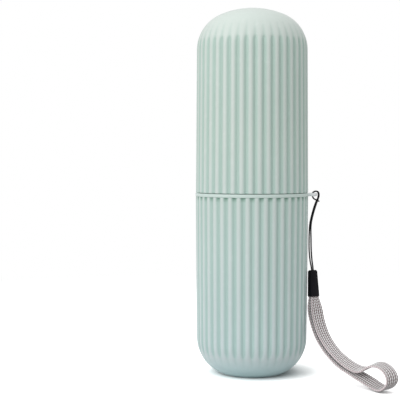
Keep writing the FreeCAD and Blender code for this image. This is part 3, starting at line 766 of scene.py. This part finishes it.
def cup_section(cup, foot_drop, scoop):
    """Half section of a cup from the axis inside, over the lip, to the axis outside.

    Each point is a radius, a drop from the mouth and the share of the ribs' depth there.
    """
    bend, shoulder = cup.corner_radius, cup.length - cup.dome_height
    middle = cup.mouth_radius - math.tan(cup.draft) * shoulder - bend * math.cos(cup.draft)
    level = shoulder - bend * math.sin(cup.draft)
    rise = cup.length - level
    crown = (middle ** 2 + rise ** 2 - bend ** 2) / (2 * (rise - bend))
    crown_turn = math.atan2(crown - rise, middle)
    bore, lip = cup.mouth_radius - cup.wall, cup.lip

    def on_bend(depth, angle, share=0.0):
        """Point on the bend, as deep under the crests as given."""
        reach = bend - depth
        return middle + reach * math.cos(angle), level + reach * math.sin(angle), share

    def on_crown(depth, angle):
        """Point on the dome's round cap."""
        reach = crown - depth
        return reach * math.cos(angle), cup.length - crown + reach * math.sin(angle), 0.0

    def fade(angle, start, end):
        """Soft step from 1 at the start to 0 at the end."""
        share = min(1, max(0, (angle - start) / (end - start)))
        return 0.5 + 0.5 * math.cos(math.pi * share)

    def ribs(angle):
        """Share of the ribs' depth: most of it ends in a scoop, the rest fades out later."""
        main = fade(angle, scoop * cup.scoop_start, scoop)
        return cup.scoop_share * main + (1 - cup.scoop_share) * fade(angle, cup.draft, cup.runout)

    def turns(start, end, count):
        """Even steps from one angle to another."""
        return [start + (end - start) * step / count for step in range(count + 1)]

    if foot_drop:
        floor = foot_drop - cup.floor_wall
        inner_turn = math.asin((floor - level) / (bend - cup.wall))
        outer_turn = math.asin((foot_drop - level) / bend)
        edge = on_bend(0, outer_turn)[0]
        inside = [(0, floor, 0), (edge * 0.4, floor, 0)]
        outside = [(edge - lip, foot_drop, 0), (edge * 0.5, foot_drop, 0), (0, foot_drop, 0)]
    else:
        inner_turn = outer_turn = crown_turn
        steps = turns(crown_turn, math.pi / 2, CROWN_ROWS)
        inside = [on_crown(cup.wall, angle) for angle in reversed(steps[1:])]
        outside = [on_crown(0, angle) for angle in steps[1:]]
    section = inside + [on_bend(cup.wall, angle) for angle in reversed(turns(0, inner_turn, INNER_ROWS))]
    section += [(bore, shoulder * 0.5, 0), (bore, lip * 3, 0), (bore, lip, 0)]
    section += [(bore + lip * 0.3, lip * 0.3, 0), (bore + lip, 0, 0)]
    section += [(cup.mouth_radius - cup.rib_depth - lip * 2, 0, 0), (cup.mouth_radius - lip, 0, 1)]
    section.append((cup.mouth_radius - lip * 0.3, lip * 0.3, 1))
    for drop in (lip, lip * 3, *(shoulder * share for share in WALL_SHARES)):
        section.append((cup.mouth_radius - math.tan(cup.draft) * drop, drop, 1))
    section += [on_bend(0, angle, ribs(angle)) for angle in turns(cup.draft, outer_turn, OUTER_ROWS)]
    return section + outside


class CASE_OT_cups(Operator):
    """Turn the two ribbed cups"""
    bl_idname = "travel_case.cups"
    bl_label = "Ribbed Cups"

    def execute(self, context):
        cup = context.scene.travel_cups
        tree = ribbed_cup_tree()
        finish = moulded_finish("mint_plastic", tuple(cup.crest_colour), tuple(cup.groove_shade_colour))
        lower_mouth, upper_mouth = LOWER_BOX[1].z, UPPER_BOX[0].z
        cups = (("ribbed_cup_lower", "lower_cup", "lower", lower_mouth, -1, cup.lower_turn, lower_mouth),
                ("ribbed_cup_upper", "upper_cup", "upper", upper_mouth, 1, cup.upper_turn, 0))
        for name, node, body, mouth, way, turn, foot_drop in cups:
            section = cup_section(cup, foot_drop, cup.lower_scoop if foot_drop else cup.scoop)
            mesh = bpy.data.meshes.new(name + "_section")
            mesh.from_pydata([(radius, 0, mouth + way * drop) for radius, drop, _ in section], [], [])
            shares = mesh.attributes.new("rib_share", "FLOAT", "POINT")
            shares.data.foreach_set("value", [share for _, _, share in section])
            helper = new_object(context, name + "_section", mesh)
            piece = new_object(context, name, bpy.data.meshes.new(name))
            piece.data = run_tree(context, piece, tree, {
                "Section": helper, "Rows": len(section), "Columns": cup.rib_count * cup.rib_columns,
                "Ribs": cup.rib_count, "Rib Depth": cup.rib_depth, "Groove Form": cup.groove_form,
                "Turn": turn, "Finish": finish})
            drop_object(helper)
            fit(piece, body, "case", node)
        return {"FINISHED"}


class CASE_OT_collar(Operator):
    """Turn the collar and add its lanyard eye"""
    bl_idname = "travel_case.collar"
    bl_label = "Collar"

    def execute(self, context):
        collar = context.scene.travel_collar
        base = LOWER_BOX[1].z
        top = base + collar.ring_thickness
        form = bmesh.new()
        self.add_ring(form, collar, base, top)
        self.add_eye(form, collar, (base + top) / 2)
        finishes = [moulded_finish(name, tuple(colour), tuple(colour)) for name, colour in (
            ("collar_plastic", collar.colour), ("eye_painted_light_plastic", collar.eye_painted_light_colour))]
        mesh = finish_mesh("collar_ring", form, finishes, sharp=math.radians(50))
        fit(new_object(context, "collar_ring", mesh), "lower", "collar", "collar")
        return {"FINISHED"}

    def add_ring(self, form, collar, base, top):
        """Sleeve with the visible ring, turned round the axis, its edges rounded."""
        low, high = COLLAR_BOX[0].z, COLLAR_BOX[1].z
        corners = [
            (collar.bore_radius, low), (collar.spigot_radius, low), (collar.spigot_radius, base),
            (collar.ring_radius, base), (collar.ring_radius, top), (collar.neck_radius, top),
            (collar.neck_radius, high - collar.neck_lead), (collar.neck_radius - collar.neck_lead, high),
            (collar.bore_radius, high)]
        angles = [math.tau * i / collar.ring_steps for i in range(collar.ring_steps)]
        rings = [[form.verts.new((radius * math.cos(a), radius * math.sin(a), z)) for radius, z in corners]
                 for a in angles]
        bridge(form, rings, closed=True)
        bmesh.ops.recalc_face_normals(form, faces=form.faces)
        hard = [edge for edge in form.edges if edge.calc_face_angle() > HARD_EDGE]
        bmesh.ops.bevel(form, geom=hard, offset=collar.edge, segments=3, profile=0.5, affect="EDGES")

    def add_eye(self, form, collar, level):
        """Eye tab round the cord's hole, with its own paler finish that paints the light the thin tab
        catches.
        """
        hole_x = COLLAR_BOX[1].x - collar.eye_bar - collar.eye_hole
        ahead = COLLAR_BOX[1].x - collar.eye_radius - hole_x
        root = hole_x - collar.ring_radius + collar.eye_root
        loops = []
        for i in range(collar.eye_steps):
            angle = math.tau * i / collar.eye_steps
            way = Vector((math.cos(angle), math.sin(angle), 0))
            if way.x > 0:
                lead = ahead * way.x
                reach = lead + math.sqrt(lead ** 2 + collar.eye_radius ** 2 - ahead ** 2)
            else:
                reach = min(collar.eye_radius / max(abs(way.y), TINY), root / max(-way.x, TINY))
            width = reach - collar.eye_hole
            centre = Vector((hole_x, 0, level)) + way * (reach + collar.eye_hole) / 2
            rounding = min(collar.eye_edge, width * 0.45)
            outline = rounded_outline(width, collar.ring_thickness, rounding, steps=4)
            loops.append([form.verts.new(centre + way * across + UP * up) for across, up in outline])
        for face in bridge(form, loops, closed=True):
            face.material_index = 1


def clip_frame(lanyard):
    """Placement of the clip: its lower end at the origin, its width on X."""
    turn = Matrix.Rotation(math.pi / 2 - lanyard.heading, 4, "Z")
    return Matrix.Translation(lanyard.clip_place) @ turn @ Matrix.Rotation(-lanyard.clip_tilt, 4, "X")


class CASE_OT_clip(Operator):
    """Loft the cord end that joins the cord and the strap"""
    bl_idname = "travel_case.clip"
    bl_label = "Cord End"

    def execute(self, context):
        clip = context.scene.travel_lanyard
        foot, head, corner = clip.clip_foot, clip.clip_head, clip.clip_corner
        bevel, edge, fit_gap = clip.clip_bevel, clip.clip_edge, clip.clip_fit
        layers = clip.layer_pitch + clip.strap_thickness + 2 * fit_gap
        pocket = (clip.strap_gather + 2 * fit_gap, layers, 3 * fit_gap)
        slot_depth = clip.cord_diameter + 2 * fit_gap
        slot = (clip.cord_pitch + slot_depth, slot_depth, slot_depth * 0.48)
        top = clip.clip_length
        shoulder = top - bevel
        sections = [
            (clip.clip_pocket, pocket), (edge, pocket), (0, (pocket[0] + edge, pocket[1] + edge, pocket[2])),
            (0, (foot[0] - edge * 2, foot[1] - edge * 2, corner)), (edge, (foot[0], foot[1], corner)),
            (shoulder - edge, (head[0], head[1], corner)),
            (shoulder + edge * 0.6, (head[0] - edge, head[1] - edge, corner)),
            (top - edge * 0.4, (head[0] - bevel * 1.7, head[1] - bevel * 1.7, corner * 0.7)),
            (top, (head[0] - bevel * 2.2, head[1] - bevel * 2.2, corner * 0.6)),
            (top, (slot[0] + edge, slot[1] + edge, slot[2])), (top - edge, slot),
            (top - clip.clip_bore, slot)]
        place = clip_frame(clip)
        form = bmesh.new()
        rings = [[form.verts.new(place @ Vector((x, y, z))) for x, y in rounded_outline(*outline, steps=3)]
                 for z, outline in sections]
        bridge(form, rings)
        form.faces.new(rings[0])
        form.faces.new(rings[-1])
        mesh = finish_mesh("cord_end", form, [clip_finish(tuple(clip.clip_colour))], sharp=math.radians(40))
        fit(new_object(context, "cord_end", mesh), "lanyard", "clip", "lanyard_clip")
        return {"FINISHED"}


class CASE_OT_cord(Operator):
    """Sweep the thin cord through the eye and back to the clip"""
    bl_idname = "travel_case.cord"
    bl_label = "Hitched Cord"

    def execute(self, context):
        cord, collar = context.scene.travel_lanyard, context.scene.travel_collar
        place = clip_frame(cord)
        half = cord.cord_pitch / 2
        heights = (cord.clip_length - cord.clip_bore, cord.clip_length + cord.cord_diameter)
        start, end = ([place @ Vector((side * half, 0, z)) for z in heights] for side in (-1, 1))
        bar_x = collar.ring_radius + collar.eye_reach - collar.eye_bar / 2
        bar = Vector((bar_x, 0, LOWER_BOX[1].z + collar.ring_thickness / 2))

        def strand(side, turn_gap):
            """Half of the hitch on one side of the bar, its run moved aside and its turn further out."""
            moved = ((HITCH_RUN, -side * cord.strand_shift), (HITCH_TURN, turn_gap), (HITCH_TAIL, 0))
            return [bar + Vector((out + shift, side * aside, up))
                    for points, shift in moved for out, aside, up in points]

        route = start + [Vector(point) for point in BACK_STRAND] + strand(1, 0)
        route += strand(-1, cord.loop_gap)[::-1] + [Vector(point) for point in reversed(FRONT_STRAND)]
        line = smooth_line(context, "hitch_route", route + end[::-1])
        sides, radius = cord.cord_sides, cord.cord_diameter / 2
        angles = [math.tau * i / sides for i in range(sides)]
        aside = Vector((0, 1, 0))
        rings, runs = [], []
        for gone, point, way in stations(line):
            aside = (aside - way * aside.dot(way)).normalized()
            other = way.cross(aside)
            rings.append([point + (aside * math.cos(a) + other * math.sin(a)) * radius for a in angles])
            runs.append(gone)
        turns = [(i - 1) % sides / sides for i in range(sides)]
        form = skin(rings, [(turn, turn + 1 / sides) for turn in turns], runs)
        finish = braid_finish(tuple(cord.cord_colour), cord.braid_pitch)
        mesh = finish_mesh("hitch_cord", form, [finish], sharp=math.radians(80))
        piece = new_object(context, "hitch_cord", mesh)
        fit(piece, "lanyard", "cord", "lanyard_cord")
        return {"FINISHED"}


class CASE_OT_strap(Operator):
    """Weave the wrist strap along its loop"""
    bl_idname = "travel_case.strap"
    bl_label = "Wrist Strap"

    def execute(self, context):
        strap = context.scene.travel_lanyard
        lean = strap.clip_tilt
        out = Vector((math.cos(strap.heading), -math.sin(strap.heading), 0))
        side = Vector((math.sin(strap.heading), math.cos(strap.heading), 0))
        foot = Vector(strap.clip_place)
        floor_place = Vector((foot.x, foot.y, 0))
        along = UP * math.cos(lean) - out * math.sin(lean)
        across = (out * math.cos(lean) + UP * math.sin(lean)) * strap.layer_pitch / 2
        held, free = foot + along * strap.clip_pocket, foot - along * strap.strap_thickness
        loop = [floor_place + out * reach + UP * up for reach, up in STRAP_LOOP]
        route = [held - across, free - across] + loop + [free + across, held + across]
        line = smooth_line(context, "strap_route", route)
        stops = stations(line)
        total = stops[-1][0]

        def width_at(gone):
            """Width of the strap, gathered at both of its ends."""
            near = min(gone, total - gone) - strap.clip_pocket
            share = math.sin(math.pi / 2 * min(1, max(0, near / strap.strap_flare)))
            return strap.strap_gather + (strap.strap_width - strap.strap_gather) * share

        def side_at(point):
            """Direction across the strap, which leans towards the front along the middle of its loop."""
            reach = (point - floor_place).dot(out)
            begin, full, ease, end = strap.roll_reach
            lean_in = min(1, max(0, (reach - begin) / (full - begin)))
            lean_out = min(1, max(0, (reach - ease) / (end - ease)))
            roll = strap.strap_roll * lean_in * (1 - (1 - strap.roll_end) * lean_out)
            return side * math.cos(roll) + UP * math.sin(roll)

        ground = self.ground(strap, stops, side_at, width_at)
        yarns = self.yarns(context, strap, stops, side_at, width_at, total)
        form = bmesh.new()
        form.from_mesh(ground)
        before = len(form.faces)
        form.from_mesh(yarns)
        form.faces.ensure_lookup_table()
        for face in form.faces[before:]:
            face.material_index = 1
        form.to_mesh(ground)
        form.free()
        ground.materials.append(yarns.materials[0])
        bpy.data.meshes.remove(yarns)
        piece = new_object(context, "wrist_band", ground)
        fit(piece, "lanyard", "strap", "wrist_strap")
        return {"FINISHED"}

    def ground(self, strap, stops, side_at, width_at):
        """Band with rounded edges, its UV map running across and along."""
        shape = BAND_SHARES + [(x, -y) for x, y in reversed(BAND_SHARES[1:-1])]
        rings = []
        for gone, point, way in stops:
            side = side_at(point)
            face = side.cross(way).normalized()
            half = width_at(gone) / 2
            rings.append([point + side * x * half + face * y * strap.strap_thickness / 2 for x, y in shape])
        across = [(shape[i - 1][0], shape[i][0]) for i in range(len(shape))]
        form = skin(rings, across, [gone for gone, _, _ in stops])
        finish = ground_finish(tuple(strap.ground_colour), tuple(strap.yarn_colour), strap.rib_pitch,
                               strap.yarn_pitch)
        return finish_mesh("wrist_band", form, [finish], sharp=math.radians(70))

    def yarns(self, context, strap, stops, side_at, width_at, total):
        """Slanted yarns in columns on both faces, leaning to and fro."""
        chance = random.Random(11)
        rows, columns = int(total / strap.yarn_pitch) - 1, strap.yarn_columns
        column_pitch = strap.strap_width * strap.yarn_spread_share / columns
        lift = strap.strap_thickness * strap.yarn_lift_share
        places, along, outward, squeeze, tint = [], [], [], [], []
        for row in range(rows):
            gone = (row + 1) * strap.yarn_pitch
            point, way = place_at(stops, gone)
            side = side_at(point)
            narrow = width_at(gone) / strap.strap_width
            for column in range(columns):
                aside = (column - (columns - 1) / 2) * column_pitch * narrow
                tilt = strap.yarn_lean if column % 2 else -strap.yarn_lean
                for sign in (-1, 1):
                    face = side.cross(way).normalized() * sign
                    places.append(point + side * aside + face * lift)
                    along.append(way * math.cos(tilt) + side * math.sin(tilt))
                    outward.append(face)
                    squeeze.append(narrow)
                    tint.append(chance.random())
        mesh = bpy.data.meshes.new("yarn_points")
        mesh.from_pydata(places, [], [])
        for name, values in (("along", along), ("outward", outward)):
            layer = mesh.attributes.new(name, "FLOAT_VECTOR", "POINT")
            layer.data.foreach_set("vector", [part for vector in values for part in vector])
        for name, values in (("squeeze", squeeze), ("tint", tint)):
            mesh.attributes.new(name, "FLOAT", "POINT").data.foreach_set("value", values)
        helper = new_object(context, "yarn_points", mesh)
        yarns = run_tree(context, helper, yarn_tree(), {
            "Yarn Length": strap.yarn_length, "Yarn Width": strap.yarn_width,
            "Yarn Height": strap.strap_thickness * strap.yarn_height_share,
            "Finish": yarn_finish(tuple(strap.yarn_colour))})
        drop_object(helper)
        return yarns


class CASE_OT_stage(Operator):
    """Lay the pale floor, hang the soft light and set the camera"""
    bl_idname = "travel_case.stage"
    bl_label = "Stage"

    def execute(self, context):
        stage, scene = context.scene.travel_stage, context.scene
        form = bmesh.new()
        bmesh.ops.create_grid(form, x_segments=8, y_segments=8, size=stage.floor_reach)
        bmesh.ops.translate(form, verts=form.verts, vec=-UP * stage.floor_drop)
        mesh = bpy.data.meshes.new("floor")
        form.to_mesh(mesh)
        form.free()
        mesh.materials.append(self.floor_finish(stage))
        new_object(context, "floor", mesh)
        self.hang_lamp(context, stage)
        self.light_world(scene, stage)
        lens = bpy.data.cameras.new("camera")
        lens.sensor_width = 36
        lens.lens = stage.lens
        lens.clip_start = 0.01
        camera = new_object(context, "camera", lens)
        camera.location = stage.camera_place
        camera.rotation_euler = (math.pi / 2 - stage.camera_pitch, 0, stage.camera_yaw)
        scene.camera = camera
        scene.view_settings.view_transform = "Standard"
        return {"FINISHED"}

    def floor_finish(self, stage):
        """Pale floor that reads as white to the camera, keeps the soft shadow cast on it, and has a painted
        close shadow under the case.
        """
        material = bpy.data.materials.new("pale_floor")
        tree = bare_tree(material)
        coords = put(tree, "ShaderNodeTexCoord").outputs["Object"]
        path = put(tree, "ShaderNodeLightPath").outputs
        seen = figure(tree, "MAXIMUM", path["Is Camera Ray"], path["Is Glossy Ray"])
        speck = noise(tree, coords, scale=40, detail=2)
        plain = tuple(stage.floor_colour)
        tint = blend(tree, spread(tree, speck, 0.3, 0.7, 0.0, 0.02), shade(plain, stage.floor_gain), plain)
        # Painted shadow: the floor darkened towards the close shadow's tone round the case's foot
        off = put(tree, "ShaderNodeVectorMath", {0: coords, 1: stage.painted_shadow_place}, operation="DISTANCE")
        painted_shadow_share = spread(tree, off.outputs["Value"], *stage.painted_shadow_reach, stage.painted_shadow_strength, 0.0)
        tint = blend(tree, painted_shadow_share, tint, tuple(stage.painted_shadow_colour))
        tint = blend(tree, seen, plain, tint)
        near = put(tree, "ShaderNodeBsdfDiffuse", {"Color": tint})
        reach = put(tree, "ShaderNodeVectorMath", {0: coords}, operation="LENGTH").outputs["Value"]
        far = figure(tree, "MULTIPLY", seen, spread(tree, reach, *stage.white_reach, 0.0, 1.0))
        white = put(tree, "ShaderNodeEmission", {"Strength": 1.0})
        both = put(tree, "ShaderNodeMixShader", {0: far, 1: near.outputs[0], 2: white.outputs[0]})
        put(tree, "ShaderNodeOutputMaterial", {"Surface": both.outputs[0]})
        return material

    def hang_lamp(self, context, stage):
        """Square soft light aimed at the middle of the case."""
        light = bpy.data.lights.new("key", "AREA")
        light.size = stage.key_size
        light.energy = stage.key_power
        lamp = new_object(context, "key", light)
        lamp.location = stage.key_place
        aim = Vector(stage.key_aim) - Vector(stage.key_place)
        lamp.rotation_euler = aim.to_track_quat("-Z", "Y").to_euler()

    def light_world(self, scene, stage):
        """White where it is seen, a soft light that is stronger from above elsewhere."""
        scene.world = bpy.data.worlds.new("studio")
        tree = bare_tree(scene.world)
        path = put(tree, "ShaderNodeLightPath").outputs
        seen = figure(tree, "MAXIMUM", path["Is Camera Ray"], path["Is Transmission Ray"])
        coords = put(tree, "ShaderNodeTexCoord").outputs["Generated"]
        toward = put(tree, "ShaderNodeSeparateXYZ", {0: coords})
        soft = spread(tree, toward.outputs[2], 0.0, 1.0, stage.ambient, stage.overhead)
        strength = spread(tree, seen, 0.0, 1.0, soft, 1.0)
        sky = put(tree, "ShaderNodeBackground", {"Color": (1, 1, 1, 1), "Strength": strength})
        put(tree, "ShaderNodeOutputWorld", {"Surface": sky.outputs[0]})


class CASE_PT_panel(Panel):
    """Travel case in the 3D view's sidebar"""
    bl_label = "Travel Case"
    bl_idname = "CASE_PT_panel"
    bl_space_type = "VIEW_3D"
    bl_region_type = "UI"
    bl_category = "Travel Case"

    def draw(self, context):
        for name, group, operators in PARTS:
            box = self.layout.box()
            for kind in operators:
                box.operator(kind.bl_idname)
            for field in group.__annotations__:
                box.prop(getattr(context.scene, name), field)


PARTS = (
    ("travel_cups", CupSettings, (CASE_OT_cups,)),
    ("travel_collar", CollarSettings, (CASE_OT_collar,)),
    ("travel_lanyard", LanyardSettings, (CASE_OT_clip, CASE_OT_cord, CASE_OT_strap)),
    ("travel_stage", StageSettings, (CASE_OT_stage,)),
)


def register():
    for name, group, operators in PARTS:
        for kind in (group, *operators):
            bpy.utils.register_class(kind)
        setattr(bpy.types.Scene, name, PointerProperty(type=group))
    bpy.utils.register_class(CASE_PT_panel)


def unregister():
    bpy.utils.unregister_class(CASE_PT_panel)
    for name, group, operators in reversed(PARTS):
        delattr(bpy.types.Scene, name)
        for kind in (*reversed(operators), group):
            bpy.utils.unregister_class(kind)


def main():
    """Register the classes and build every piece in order."""
    register()
    bpy.ops.travel_case.cups()
    bpy.ops.travel_case.collar()
    bpy.ops.travel_case.clip()
    bpy.ops.travel_case.cord()
    bpy.ops.travel_case.strap()
    bpy.ops.travel_case.stage()
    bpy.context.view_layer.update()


if __name__ == "__main__":
    main()
